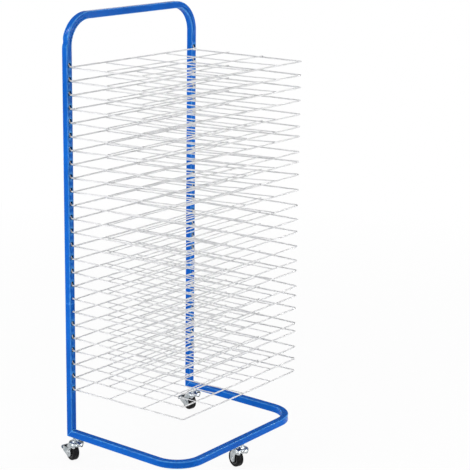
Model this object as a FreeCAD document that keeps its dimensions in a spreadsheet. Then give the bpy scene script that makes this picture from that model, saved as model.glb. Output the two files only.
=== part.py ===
import FreeCAD, Part
import Sketcher
import math
import os

# Art drying rack: a square-tube frame on three swivel casters, with wire shelves that hook into
# slots in the two posts. Millimetres. X runs across the rack, Y from the shelves' front edge to
# the posts, Z up. The origin is on the floor, at the middle of the frame's footprint.

doc = FreeCAD.newDocument("art_drying_rack")
dims = doc.addObject("Spreadsheet::Sheet", "dims")
usedRows = []


class Size:
    """A size that keeps its number together with the spreadsheet formula it comes from."""

    def __init__(self, number, formula):
        self.number = float(number)
        self.formula = formula

    def __add__(self, other):
        return joined(self, "+", other, self.number + numberOf(other))

    def __radd__(self, other):
        return joined(other, "+", self, numberOf(other) + self.number)

    def __sub__(self, other):
        return joined(self, "-", other, self.number - numberOf(other))

    def __rsub__(self, other):
        return joined(other, "-", self, numberOf(other) - self.number)

    def __mul__(self, other):
        return joined(self, "*", other, self.number * numberOf(other))

    def __rmul__(self, other):
        return joined(other, "*", self, numberOf(other) * self.number)

    def __truediv__(self, other):
        return joined(self, "/", other, self.number / numberOf(other))

    def __neg__(self):
        return 0 - self


def numberOf(value):
    return value.number if isinstance(value, Size) else float(value)


def formulaOf(value):
    return value.formula if isinstance(value, Size) else "(%.6f)" % value


def joined(first, sign, second, number):
    return Size(number, "(%s %s %s)" % (formulaOf(first), sign, formulaOf(second)))


def sine(angle):
    return Size(math.sin(math.radians(numberOf(angle))), "sin(%s * 1 deg)" % formulaOf(angle))


def cosine(angle):
    return Size(math.cos(math.radians(numberOf(angle))), "cos(%s * 1 deg)" % formulaOf(angle))


def slope(rise, run):
    """The angle of a line that climbs by rise over run, in degrees."""
    angle = math.degrees(math.atan2(numberOf(rise), numberOf(run)))
    return Size(angle, "(atan(%s / %s) / 1 deg)" % (formulaOf(rise), formulaOf(run)))


def size(name, number, note):
    """Writes one driving size into the spreadsheet and hands it back by its alias."""
    row = len(usedRows) + 1
    usedRows.append(name)
    dims.set("A%d" % row, name)
    dims.set("B%d" % row, str(number))
    dims.set("C%d" % row, note)
    dims.setAlias("B%d" % row, name)
    return Size(number, "dims." + name)


# ---------------------------------------------------------------- driving sizes: frame
tubeSide = size("tube_side", 20, "square tube of the frame, across the outside")
tubeWall = size("tube_wall", 1.2, "wall of the frame tube")
tubeCorner = size("tube_corner", 2.5, "outside corner radius of the frame tube")
bendRadius = size("bend_radius", 80, "centreline radius of the tube bends")
frameWidth = size("frame_width", 550, "across the outsides of the two posts")
frameDepth = size("frame_depth", 420, "from the front bar's face to the posts' rear face")
frameHeight = size("frame_height", 1196, "from the base tube's underside to the handle's top")
seamDrop = size("seam_drop", 15, "post seam below the first slot of the upper frame")
weldLeg = size("weld_leg", 3.5, "leg of the weld bead in each rear corner")

# driving sizes: slots and shelves
shelfPitch = size("shelf_pitch", 38, "from one shelf to the next")
firstShelf = size("first_shelf", 142, "lowest shelf's rear wire above the base tube's underside")
slotWidth = size("slot_width", 11, "width of a hook slot in the post")
slotHeight = size("slot_height", 14, "height of a hook slot in the post")
seatGap = size("seat_gap", 0.3, "play between a hook and the lower end of its slot")
rimWire = size("rim_wire", 4, "wire of a shelf's rim, rear wire and hooks")
crossWire = size("cross_wire", 3, "wire of a shelf's inner grid")
weldBite = size("weld_bite", 0.3, "depth by which welded wires sink into each other")
shelfDepth = size("shelf_depth", 380, "from the rear wire to the front wire, centre to centre")
rearStandoff = size("rear_standoff", 10, "rear wire's centre in front of the posts' faces")
sideInset = size("side_inset", 7, "side wires' centres inside the posts' centre planes")
rowSpacing = size("row_spacing", 122, "spacing of the grid wires that run across")
frontCorner = size("front_corner", 9, "centreline radius of the rim's front corners")
rearCorner = size("rear_corner", 5, "centreline radius where the rear wire turns into its hooks")
frontOverhang = size("front_overhang", 6, "grid wires' ends in front of the front wire")
sideOverhang = size("side_overhang", 4.5, "grid wires' ends outside the side wires")
hookLength = size("hook_length", 9, "first part of a hook, just inside the post's front wall")
hookRise = size("hook_rise", 50, "angle by which the hook's first part rises")
hookTip = size("hook_tip", 8.3, "second part of a hook, which bears behind the wall above the slot")
hookLean = size("hook_lean", 22, "angle by which the hook's second part leans back to the wall")
sideGap = size("side_gap", 0.3, "side wires' rear ends off the posts' faces")

# driving sizes: joiners and screws
joinerWall = size("joiner_wall", 1.5, "sheet of the channel that joins the posts")
joinerPlay = size("joiner_play", 0.15, "play between the joiner and the inside of the post")
joinerMargin = size("joiner_margin", 12, "joiner's end past its last screw")
screwThread = size("screw_thread", 6, "thread of the frame screws")
screwLength = size("screw_length", 8, "length of the frame screws under the head")
screwHead = size("screw_head", 10.5, "diameter of the frame screws' button heads")
screwHeadHeight = size("screw_head_height", 3.3, "height of the frame screws' button heads")
socketFlats = size("socket_flats", 4, "across the flats of the screws' hexagon sockets")
socketDepth = size("socket_depth", 2, "depth of the screws' hexagon sockets")
screwPlay = size("screw_play", 0.2, "radial play of a frame screw in the post's wall")
threadPlay = size("thread_play", 0.05, "radial play between a thread and its nut, modelled plain")

# driving sizes: casters
wheelDiameter = size("wheel_diameter", 50, "tyre's outside diameter")
wheelWidth = size("wheel_width", 20, "tyre's width")
tyreShoulder = size("tyre_shoulder", 5, "radius of the tyre's shoulders")
tyreThickness = size("tyre_thickness", 8, "tyre's depth over the wheel's core")
coreWeb = size("core_web", 7, "thickness of the core's web")
coreRim = size("core_rim", 3, "thickness of the core's rim")
rimInset = size("rim_inset", 1, "core's rim inside the tyre's flanks")
hubDiameter = size("hub_diameter", 14, "core's hub")
axleDiameter = size("axle_diameter", 6, "rivet that carries the wheel")
axleHead = size("axle_head", 10, "rivet's heads")
axleHeadHeight = size("axle_head_height", 1.8, "height of the rivet's heads")
runningPlay = size("running_play", 0.1, "radial play of turning parts on their pins")
sidePlay = size("side_play", 0.3, "side play of turning parts")
casterTrail = size("caster_trail", 22, "axle behind the swivel's centre")
crownGap = size("crown_gap", 2.5, "fork's crown above the tyre")
forkPlate = size("fork_plate", 2.2, "sheet of the fork")
forkInside = size("fork_inside", 22, "between the fork's cheeks")
crownDiameter = size("crown_diameter", 42, "fork's round crown")
forkFront = size("fork_front", 16, "cheeks' front end ahead of the swivel's centre")
cheekDepth = size("cheek_depth", 8, "cheeks' depth at their front end")
cheekNose = size("cheek_nose", 10, "radius of the cheeks round the axle")
cheekSweep = size("cheek_sweep", 16, "radius of the cheeks' hollow front edge")
cheekShoulder = size("cheek_shoulder", 15, "cheeks' rear edge upright above the axle")
raceHeight = size("race_height", 11.3, "from the crown's top to the cap's top")
capDiameter = size("cap_diameter", 44, "cap over the ball race")
capSkirt = size("cap_skirt", 7, "height of the cap's outer edge")
capWall = size("cap_wall", 2, "sheet of the cap")
ballDiameter = size("ball_diameter", 4.5, "balls of the race")
raceDiameter = size("race_diameter", 31, "circle of the balls' centres")
neckHeight = size("neck_height", 8, "from the cap's top to the base tube's underside")
stemDiameter = size("stem_diameter", 10, "threaded stem")
stemHead = size("stem_head", 14, "stem's riveted foot under the crown")
stemHeadHeight = size("stem_head_height", 2.4, "height of the stem's riveted foot")
stemReach = size("stem_reach", 15, "stem above the base tube's underside")
nutFlats = size("nut_flats", 17, "across the flats of the stem nut")
flangeHeight = size("flange_height", 1.6, "flange of the threaded socket in the tube")
flangeDiameter = size("flange_diameter", 18, "flange of the threaded socket in the tube")
barrelDiameter = size("barrel_diameter", 13, "barrel of the threaded socket in the tube")
barrelHeight = size("barrel_height", 13, "socket's barrel above the tube's underside")
rearCasterInset = size("rear_caster_inset", 27, "rear stems in front of the posts' rear face")
headingLeft = size("heading_left", 17, "rear left caster, turned clockwise from straight back")
headingRight = size("heading_right", 15, "rear right caster, turned clockwise from straight back")
headingFront = size("heading_front", 17, "front caster, turned clockwise from straight back")

# driving sizes: brake
wingPlate = size("wing_plate", 1.8, "sheet of the brake lever")
wingNose = size("wing_nose", 13.5, "radius of the lever's wings round the axle")
wingReach = size("wing_reach", 30, "lever's cross web behind the axle")
webHeight = size("web_height", 13, "height of the lever's cross web")
webDrop = size("web_drop", 2, "cross web's lower edge below the axle")
tongueLength = size("tongue_length", 23, "tongue that carries the pedal, behind the web")
tongueWidth = size("tongue_width", 14, "width of the tongue")
tongueSlope = size("tongue_slope", 30, "angle by which the tongue falls")
pedalLength = size("pedal_length", 17, "pedal along the tongue")
pedalCorner = size("pedal_corner", 5, "corner radius of the pedal")
pedalWidth = size("pedal_width", 19, "pedal across")
pedalHeight = size("pedal_height", 7, "pedal's thickness")
pedalPlay = size("pedal_play", 0.1, "play between the pedal and the tongue in it")

# How far each shelf's front edge stands above its rear wire, from the lowest shelf to the top one.
# Hand-made shelves hang unevenly.
shelfLifts = [9, 7, 5, 14, 0, 8, 7, -3, 6, -3, 1, 6, 4, 7, 14, 20, 19, 9, 15, 5, 2, 3, 2, -2, -2]
lowerShelves = 7       # shelves that hang on the lower posts
screwsPerEnd = 3       # screws through each end of a joiner
ballsPerRace = 14

# sizes that follow
postSpacing = frameWidth - tubeSide
postPlane = frameDepth / 2 - tubeSide / 2
legUnderside = wheelDiameter + crownGap + forkPlate + raceHeight + neckHeight
seamHeight = legUnderside + firstShelf + shelfPitch * lowerShelves - seamDrop
joinerReach = shelfPitch * screwsPerEnd + joinerMargin
tubeInside = tubeSide - 2 * tubeWall
sideSpacing = postSpacing - 2 * sideInset
hookPlane = postPlane - tubeSide / 2 + tubeWall / 2

doc.recompute()


# ---------------------------------------------------------------- building helpers
def bind(thing, prop, value):
    """Sets a property and ties it to the spreadsheet."""
    if isinstance(value, Size):
        thing.setExpression(prop, value.formula)


def place(thing, x=0, y=0, z=0, axis=(0, 0, 1), angle=0):
    turn = FreeCAD.Rotation(FreeCAD.Vector(*axis), numberOf(angle))
    spot = FreeCAD.Vector(numberOf(x), numberOf(y), numberOf(z))
    thing.Placement = FreeCAD.Placement(spot, turn)
    bind(thing, "Placement.Base.x", x)
    bind(thing, "Placement.Base.y", y)
    bind(thing, "Placement.Base.z", z)
    if isinstance(angle, Size):
        bind(thing, "Placement.Rotation.Angle", angle)


def newBody(label):
    body = doc.addObject("PartDesign::Body", label)
    body.Label = label
    return body


def originFeature(body, role):
    return [item for item in body.Origin.OriginFeatures if item.Role == role][0]


def newSketch(body, name, plane, u=0, v=0, w=0):
    """A sketch on one of the body's own planes, moved by u and v in the plane and w off it."""
    sketch = body.newObject("Sketcher::SketchObject", name)
    sketch.AttachmentSupport = [(originFeature(body, plane), "")]
    sketch.MapMode = "FlatFace"
    offset = FreeCAD.Vector(numberOf(u), numberOf(v), numberOf(w))
    sketch.AttachmentOffset = FreeCAD.Placement(offset, FreeCAD.Rotation())
    bind(sketch, "AttachmentOffset.Base.x", u)
    bind(sketch, "AttachmentOffset.Base.y", v)
    bind(sketch, "AttachmentOffset.Base.z", w)
    return sketch


def hold(sketch, geometry, point, u, v):
    """Fixes one point of a sketch at u, v from the sketch's origin."""
    for kind, value, line in (("DistanceX", u, -2), ("DistanceY", v, -1)):
        if abs(numberOf(value)) < 1e-6:
            sketch.addConstraint(Sketcher.Constraint("PointOnObject", geometry, point, line))
            continue
        index = sketch.addConstraint(Sketcher.Constraint(kind, -1, 1, geometry, point, numberOf(value)))
        bind(sketch, "Constraints[%d]" % index, value)


def arcCentre(start, end, radius, turn):
    """Centre of the arc from start to end: turn is 1 for anticlockwise, -1 for clockwise."""
    chord = end.sub(start)
    middle = start.add(end).multiply(0.5)
    across = FreeCAD.Vector(-chord.y, chord.x, 0).normalize()
    rise = math.sqrt(max(radius ** 2 - (chord.Length / 2) ** 2, 0))
    return middle.add(across.multiply(rise * turn))


def draw(sketch, points, closed=True):
    """Draws lines and arcs through points. A point is (u, v), or (u, v, radius, turn) where an arc
    of less than half a turn leads to it."""
    spots = [FreeCAD.Vector(numberOf(point[0]), numberOf(point[1]), 0) for point in points]
    last = len(points) if closed else len(points) - 1
    drawn = []
    for index in range(last):
        following = (index + 1) % len(points)
        start, end, goal = spots[index], spots[following], points[following]
        if len(goal) == 2:
            drawn.append((sketch.addGeometry(Part.LineSegment(start, end), False), 1, 2))
            continue
        radius, turn = goal[2], goal[3]
        centre = arcCentre(start, end, numberOf(radius), turn)
        first, second = (start, end) if turn > 0 else (end, start)
        angles = [math.atan2(spot.y - centre.y, spot.x - centre.x) for spot in (first, second)]
        circle = Part.Circle(centre, FreeCAD.Vector(0, 0, 1), numberOf(radius))
        number = sketch.addGeometry(Part.ArcOfCircle(circle, angles[0], angles[1]), False)
        limit = sketch.addConstraint(Sketcher.Constraint("Radius", number, numberOf(radius)))
        bind(sketch, "Constraints[%d]" % limit, radius)
        drawn.append((number, 1, 2) if turn > 0 else (number, 2, 1))
    for index, (number, start, end) in enumerate(drawn):
        hold(sketch, number, start, points[index][0], points[index][1])
        if index + 1 < len(drawn) or closed:
            following = drawn[(index + 1) % len(drawn)]
            sketch.addConstraint(Sketcher.Constraint("Coincident", number, end, following[0], following[1]))
        else:
            hold(sketch, number, end, points[-1][0], points[-1][1])


def drawCircle(sketch, u, v, radius):
    centre = FreeCAD.Vector(numberOf(u), numberOf(v), 0)
    number = sketch.addGeometry(Part.Circle(centre, FreeCAD.Vector(0, 0, 1), numberOf(radius)), False)
    limit = sketch.addConstraint(Sketcher.Constraint("Radius", number, numberOf(radius)))
    bind(sketch, "Constraints[%d]" % limit, radius)
    hold(sketch, number, 3, u, v)


def drawRounded(sketch, u, v, width, height, corner):
    """A rectangle about u, v with round corners."""
    right, top = width / 2, height / 2
    inner, upper = right - corner, top - corner
    draw(sketch, [
        (u + inner, v - top), (u + right, v - upper, corner, 1),
        (u + right, v + upper), (u + inner, v + top, corner, 1),
        (u - inner, v + top), (u - right, v + upper, corner, 1),
        (u - right, v - upper), (u - inner, v - top, corner, 1),
    ])


def drawSlot(sketch, u, v, width, height):
    """An upright slot with round ends, about u, v."""
    radius, straight = width / 2, (height - width) / 2
    draw(sketch, [
        (u + radius, v - straight, radius, 1), (u + radius, v + straight),
        (u, v + height / 2, radius, 1), (u - radius, v + straight, radius, 1),
        (u - radius, v - straight), (u, v - height / 2, radius, 1),
    ])


def drawTube(sketch):
    """The frame tube's section, about the sketch's origin."""
    drawRounded(sketch, 0, 0, tubeSide, tubeSide, tubeCorner)
    drawRounded(sketch, 0, 0, tubeInside, tubeInside, tubeCorner - tubeWall)


def pad(body, name, sketch, length, symmetric=False, reverse=False):
    feature = body.newObject("PartDesign::Pad", name)
    feature.Profile = sketch
    feature.Length = numberOf(length)
    bind(feature, "Length", length)
    feature.Midplane = symmetric
    feature.Reversed = reverse
    return feature


def pocket(body, name, sketch, length=None, symmetric=False, reverse=False):
    """Cuts a sketch out of the body, right through where no length is given."""
    feature = body.newObject("PartDesign::Pocket", name)
    feature.Profile = sketch
    feature.Midplane = symmetric
    feature.Reversed = reverse
    if length is None:
        feature.Type = "ThroughAll"
        return feature
    feature.Length = numberOf(length)
    bind(feature, "Length", length)
    return feature


def turned(body, name, sketch):
    """Turns a sketch right round its own horizontal axis."""
    feature = body.newObject("PartDesign::Revolution", name)
    feature.Profile = sketch
    feature.ReferenceAxis = (sketch, ["H_Axis"])
    feature.Angle = 360
    return feature


def spun(body, name, sketch):
    """Turns a sketch right round its own upright axis."""
    feature = turned(body, name, sketch)
    feature.ReferenceAxis = (sketch, ["V_Axis"])
    return feature


def rows(body, name, feature, spacing, count):
    """Repeats a cut upwards, count times in all."""
    pattern = body.newObject("PartDesign::LinearPattern", name)
    pattern.Originals = [feature]
    pattern.Direction = (originFeature(body, "Z_Axis"), [""])
    pattern.Length = numberOf(spacing * (count - 1))
    bind(pattern, "Length", spacing * (count - 1))
    pattern.Occurrences = count
    body.Tip = pattern
    return pattern


def copied(source, label, x=0, y=0, z=0, axis=(0, 0, 1), angle=0):
    """A sub-part that repeats another object's shape at a place of its own."""
    twin = doc.addObject("Part::Refine", label)
    twin.Label = label
    twin.Source = source
    place(twin, x, y, z, axis, angle)
    return twin


def grouped(label, members):
    group = doc.addObject("Part::Compound", label)
    group.Label = label
    group.Links = members
    return group


# ---------------------------------------------------------------- frame
def bentTube(label, reach):
    """A tube bent twice into a U: two legs that rise from z = 0, and a bar across them at z = reach.
    The first leg stands on the body's origin, the second one postSpacing further along X."""
    body = newBody(label)
    section = newSketch(body, label + "_section", "XY_Plane")
    drawTube(section)
    route = newSketch(body, label + "_route", "XZ_Plane")
    draw(route, [
        (0, 0), (0, reach - bendRadius), (bendRadius, reach, bendRadius, -1),
        (postSpacing - bendRadius, reach), (postSpacing, reach - bendRadius, bendRadius, -1),
        (postSpacing, 0),
    ], closed=False)
    doc.recompute()
    sweep = body.newObject("PartDesign::AdditivePipe", label + "_sweep")
    sweep.Profile = section
    sweep.Spine = (route, ["Edge%d" % (index + 1) for index in range(len(route.Shape.Edges))])
    return body


def straightTube(label, length):
    body = newBody(label)
    section = newSketch(body, label + "_section", "XY_Plane")
    drawTube(section)
    pad(body, label + "_tube", section, length)
    return body


def cutSlots(body, columns, lowest, count):
    """Hook slots in the front wall, in one column per leg, from the lowest one up."""
    slots = newSketch(body, body.Label + "_slots", "XZ_Plane")
    middle = lowest - rimWire / 2 - seatGap + slotHeight / 2
    for column in columns:
        drawSlot(slots, column, middle, slotWidth, slotHeight)
    cut = pocket(body, body.Label + "_slot_cut", slots, reverse=True)
    doc.recompute()
    rows(body, body.Label + "_slot_rows", cut, shelfPitch, count)


def cutScrewHoles(body, columns, heights):
    """Clearance holes for the joiner's screws in the rear wall."""
    holes = newSketch(body, body.Label + "_screw_holes", "XZ_Plane")
    for column in columns:
        for height in heights:
            drawCircle(holes, column, height, screwThread / 2 + screwPlay)
    pocket(body, body.Label + "_screw_cut", holes)


def cutMitre(body, points):
    """Takes the 45-degree corner off the end of a leg."""
    corner = newSketch(body, body.Label + "_mitre", "YZ_Plane")
    draw(corner, points)
    pocket(body, body.Label + "_mitre_cut", corner, symmetric=True)


half = tubeSide / 2
screwSteps = [shelfPitch * (step + 1) for step in range(screwsPerEnd)]
upperShelves = len(shelfLifts) - lowerShelves

handle = bentTube("handle_frame", legUnderside + frameHeight - half - seamHeight)
cutSlots(handle, [0, postSpacing], seamDrop, upperShelves)
cutScrewHoles(handle, [0, postSpacing], screwSteps)
place(handle, -postSpacing / 2, postPlane, seamHeight)

postLength = seamHeight - legUnderside
for label, side in (("lower_post_left", -1), ("lower_post_right", 1)):
    post = straightTube(label, postLength)
    cutSlots(post, [0], firstShelf, lowerShelves)
    cutScrewHoles(post, [0], [postLength - step for step in screwSteps])
    cutMitre(post, [(-half, 0), (half, 0), (-half, tubeSide)])
    place(post, side * postSpacing / 2, postPlane, legUnderside)

# The base lies on its back: its legs point to the rear, and their ends are mitred to the posts.
base = bentTube("base_tube", frameDepth - half)
cutMitre(base, [(half, 0), (half, tubeSide), (-half, 0)])
place(base, -postSpacing / 2, frameDepth / 2, legUnderside + half, (1, 0, 0), 90)
stemHoles = newSketch(base, "base_tube_stem_holes", "XZ_Plane")
for column, height in ((0, rearCasterInset), (postSpacing, rearCasterInset),
                       (postSpacing / 2, frameDepth - half)):
    drawCircle(stemHoles, column, height, barrelDiameter / 2)
pocket(base, "base_tube_stem_cut", stemHoles, reverse=True)

# Weld bead in the inside corner between each post and its leg.
bead = newBody("weld_bead")
beadSection = newSketch(bead, "weld_bead_section", "YZ_Plane")
draw(beadSection, [(0, 0), (0, weldLeg), (-weldLeg, 0, weldLeg, -1)])
pad(bead, "weld_bead_run", beadSection, tubeSide - 2 * tubeCorner, symmetric=True)
beads = [
    copied(bead, "weld_bead_" + name, side * postSpacing / 2, postPlane - half, legUnderside + tubeSide)
    for name, side in (("left", -1), ("right", 1))
]
grouped("corner_welds", beads)

# Channel inside each post, across the seam, open to the front so that the hooks stay free.
for label, side in (("post_joiner_left", -1), ("post_joiner_right", 1)):
    joiner = newBody(label)
    outside = tubeInside / 2 - joinerPlay
    inside = outside - joinerWall
    fold = tubeCorner
    section = newSketch(joiner, label + "_section", "XY_Plane")
    draw(section, [
        (-outside, -inside), (-inside, -inside), (-inside, inside), (inside, inside),
        (inside, -inside), (outside, -inside), (outside, outside - fold),
        (outside - fold, outside, fold, 1), (fold - outside, outside),
        (-outside, outside - fold, fold, 1),
    ])
    pad(joiner, label + "_channel", section, 2 * joinerReach, symmetric=True)
    holes = newSketch(joiner, label + "_holes", "XZ_Plane")
    for step in screwSteps:
        drawCircle(holes, 0, step, screwThread / 2 + threadPlay)
        drawCircle(holes, 0, -step, screwThread / 2 + threadPlay)
    pocket(joiner, label + "_hole_cut", holes)
    place(joiner, side * postSpacing / 2, postPlane, seamHeight)

# Button-head screw, head up, seat at z = 0.
screw = newBody("frame_screw")
profile = newSketch(screw, "frame_screw_profile", "XZ_Plane")
headRim = 0.3 * screwHeadHeight
draw(profile, [
    (0, -screwLength), (screwThread / 2, -screwLength), (screwThread / 2, 0), (screwHead / 2, 0),
    (screwHead / 2, headRim), (screwHead / 4, screwHeadHeight, screwHead / 2, 1), (0, screwHeadHeight),
])
spun(screw, "frame_screw_body", profile)
driver = newSketch(screw, "frame_screw_driver", "XY_Plane", w=screwHeadHeight)
across = socketFlats / 2
point = socketFlats / math.sqrt(3)
draw(driver, [(point, 0), (point / 2, across), (-point / 2, across), (-point, 0),
              (-point / 2, -across), (point / 2, -across)])
pocket(screw, "frame_screw_socket", driver, socketDepth)
screws = []
for side in (-1, 1):
    for step in screwSteps:
        for end in (-1, 1):
            label = "frame_screw_%d" % (len(screws) + 1)
            screws.append(copied(screw, label, side * postSpacing / 2, frameDepth / 2,
                                 seamHeight + end * step, (1, 0, 0), -90))
grouped("frame_screws", screws)


# ---------------------------------------------------------------- shelves
def rod(name, wire, x, y, z, length, axis=(0, 0, 1), angle=0):
    """A straight wire that starts at x, y, z."""
    piece = doc.addObject("Part::Cylinder", name)
    bind(piece, "Radius", wire / 2)
    bind(piece, "Height", length)
    place(piece, x, y, z, axis, angle)
    return piece


def elbow(name, wire, radius, x, y, z, angle):
    """A quarter bend in the horizontal plane, about x, y, z, from the given angle onwards."""
    piece = doc.addObject("Part::Torus", name)
    bind(piece, "Radius1", radius)
    bind(piece, "Radius2", wire / 2)
    piece.Angle3 = 90
    place(piece, x, y, z, (0, 0, 1), angle)
    return piece


def knee(name, wire, x, y, z):
    piece = doc.addObject("Part::Sphere", name)
    bind(piece, "Radius", wire / 2)
    place(piece, x, y, z)
    return piece


# The shelf's own origin is midway between its hooks, where they pass the posts' front walls.
rearLine = -(tubeWall / 2 + rearStandoff)
frontLine = rearLine - shelfDepth
rimLevel = weldBite - rimWire
crossLevel = rimLevel + (rimWire + crossWire) / 2 - weldBite
columnLevel = crossLevel - crossWire + weldBite
sideStart = -(tubeWall / 2 + sideGap)
sideLength = sideStart - frontLine - frontCorner
hookSpacing = postSpacing
bendY = hookLength * cosine(hookRise)
bendZ = hookLength * sine(hookRise)
wires = [
    rod("rim_front", rimWire, frontCorner - sideSpacing / 2, frontLine, rimLevel,
        sideSpacing - 2 * frontCorner, (0, 1, 0), 90),
    rod("rear_wire", rimWire, rearCorner - hookSpacing / 2, rearLine, 0,
        hookSpacing - 2 * rearCorner, (0, 1, 0), 90),
]
for side, name, frontTurn, rearTurn in ((-1, "left", 180, 180), (1, "right", 270, 270)):
    sideX = side * sideSpacing / 2
    hookX = side * hookSpacing / 2
    wires += [
        rod("rim_side_" + name, rimWire, sideX, sideStart, rimLevel, sideLength, (1, 0, 0), 90),
        elbow("rim_corner_" + name, rimWire, frontCorner, sideX - side * frontCorner,
              frontLine + frontCorner, rimLevel, frontTurn),
        elbow("rear_corner_" + name, rimWire, rearCorner, hookX - side * rearCorner,
              rearLine + rearCorner, 0, rearTurn),
        rod("hook_shank_" + name, rimWire, hookX, 0, 0, -rearLine - rearCorner, (1, 0, 0), 90),
        knee("hook_knee_" + name, rimWire, hookX, 0, 0),
        rod("hook_rise_" + name, rimWire, hookX, 0, 0, hookLength, (-1, 0, 0), 90 - hookRise),
        knee("hook_bend_" + name, rimWire, hookX, bendY, bendZ),
        rod("hook_tip_" + name, rimWire, hookX, bendY, bendZ, hookTip, (1, 0, 0), hookLean),
    ]
acrossLength = sideSpacing + 2 * sideOverhang
for number in (1, 2):
    wires.append(rod("row_wire_%d" % number, crossWire, -acrossLength / 2,
                     rearLine - rowSpacing * number, crossLevel, acrossLength, (0, 1, 0), 90))
# The grid wires that run front to back pass under the rear wire and both rows, then ride up over
# the front wire.
columnEnd = frontLine - frontOverhang
lastRow = rearLine - 2 * rowSpacing
climb = slope(crossLevel - columnLevel, lastRow - frontLine)
for number in (1, 2, 3):
    columnX = sideSpacing * (number / 4 - 0.5)
    wires += [
        rod("column_wire_%d" % number, crossWire, columnX, rearLine + rimWire / 2, columnLevel,
            rearLine + rimWire / 2 - lastRow, (1, 0, 0), 90),
        knee("column_knee_%d" % number, crossWire, columnX, lastRow, columnLevel),
        rod("column_nose_%d" % number, crossWire, columnX, lastRow, columnLevel,
            (lastRow - columnEnd) / cosine(climb), (1, 0, 0), 90 - climb),
    ]
shelf = doc.addObject("Part::MultiFuse", "shelf")
shelf.Shapes = wires
shelves = []
for row, lift in enumerate(shelfLifts):
    height = legUnderside + firstShelf + shelfPitch * row
    shelves.append(copied(shelf, "shelf_%02d" % (row + 1), 0, hookPlane, height,
                          (-1, 0, 0), slope(lift, -frontLine)))


# ---------------------------------------------------------------- casters
# Every piece of a caster is drawn about the stem's axis, from the floor up, trailing along +Y.
axleHeight = wheelDiameter / 2
crownUnder = wheelDiameter + crownGap
crownTop = crownUnder + forkPlate
capTop = crownTop + raceHeight
wheelRadius = wheelDiameter / 2
coreRadius = wheelRadius - tyreThickness
axleRadius = axleDiameter / 2
stemRadius = stemDiameter / 2
forkOutside = forkInside / 2 + forkPlate
ballTop = crownTop + sidePlay / 2 + ballDiameter
wingInside = forkOutside + sidePlay


def axleSketch(body, name):
    """A sketch whose horizontal axis is the wheel's axle."""
    return newSketch(body, name, "XZ_Plane", 0, axleHeight, -casterTrail)


stem = newBody("caster_stem")
profile = newSketch(stem, "caster_stem_profile", "XZ_Plane")
foot = crownUnder - sidePlay - stemHeadHeight
stemTop = legUnderside + stemReach
tipChamfer = stemRadius / 5
draw(profile, [
    (0, foot), (stemHead / 2, foot), (stemHead / 2, foot + stemHeadHeight),
    (stemRadius, foot + stemHeadHeight), (stemRadius, stemTop - tipChamfer),
    (stemRadius - tipChamfer, stemTop), (0, stemTop),
])
spun(stem, "caster_stem_body", profile)

cap = newBody("caster_cap")
profile = newSketch(cap, "caster_cap_profile", "XZ_Plane")
rim = capDiameter / 2
skirt = crownTop + sidePlay
shoulder = skirt + capSkirt
roll = capSkirt / 2
collar = nutFlats / 2 + capWall / 2
ceiling = ballTop + threadPlay
raceInner = raceDiameter / 2 - ballDiameter / 2
draw(profile, [
    (rim, skirt), (rim, shoulder - roll), (rim - roll, shoulder, roll, 1), (collar, capTop),
    (stemRadius + threadPlay, capTop), (stemRadius + threadPlay, capTop - capWall),
    (collar - capWall, capTop - capWall), (raceInner - threadPlay, ceiling),
    (rim - capWall, ceiling), (rim - capWall, skirt),
])
spun(cap, "caster_cap_shell", profile)

fork = newBody("caster_fork")
outline = newSketch(fork, "caster_fork_cheek", "YZ_Plane")
noseFront = casterTrail - cheekNose
noseRear = casterTrail + cheekNose
frontEdge = crownTop - cheekDepth
draw(outline, [
    (-forkFront, crownTop), (-forkFront, frontEdge), (noseFront - cheekSweep, frontEdge),
    (noseFront, frontEdge - cheekSweep, cheekSweep, -1), (noseFront, axleHeight),
    (casterTrail, axleHeight - cheekNose, cheekNose, 1), (noseRear, axleHeight, cheekNose, 1),
    (noseRear, axleHeight + cheekShoulder), (crownDiameter / 2, crownTop),
])
pad(fork, "caster_fork_block", outline, 2 * forkOutside, symmetric=True)
gap = newSketch(fork, "caster_fork_gap", "XZ_Plane")
draw(gap, [(-forkInside / 2, 0), (forkInside / 2, 0), (forkInside / 2, crownUnder),
           (-forkInside / 2, crownUnder)])
pocket(fork, "caster_fork_gap_cut", gap, symmetric=True)
crown = newSketch(fork, "caster_fork_crown", "XY_Plane", w=crownUnder)
drawCircle(crown, 0, 0, crownDiameter / 2)
pad(fork, "caster_fork_crown_plate", crown, forkPlate)
pinHole = newSketch(fork, "caster_fork_pin_hole", "XY_Plane")
drawCircle(pinHole, 0, 0, stemRadius + runningPlay)
pocket(fork, "caster_fork_pin_cut", pinHole, symmetric=True)
axleHole = newSketch(fork, "caster_fork_axle_hole", "YZ_Plane")
drawCircle(axleHole, casterTrail, axleHeight, axleRadius + threadPlay)
pocket(fork, "caster_fork_axle_cut", axleHole, symmetric=True)


def makeAxle(label, reach):
    """A riveted axle whose heads sit at reach on both sides."""
    axle = newBody(label)
    section = axleSketch(axle, label + "_profile")
    end = reach + axleHeadHeight
    crest = axleHead * 0.3
    draw(section, [
        (-end, 0), (-end, crest), (-reach, axleHead / 2), (-reach, axleRadius), (reach, axleRadius),
        (reach, axleHead / 2), (end, crest), (end, 0),
    ])
    turned(axle, label + "_body", section)
    return axle


plainAxle = makeAxle("plain_axle", forkOutside)
brakeAxle = makeAxle("brake_axle", wingInside + wingPlate + sidePlay)

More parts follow.
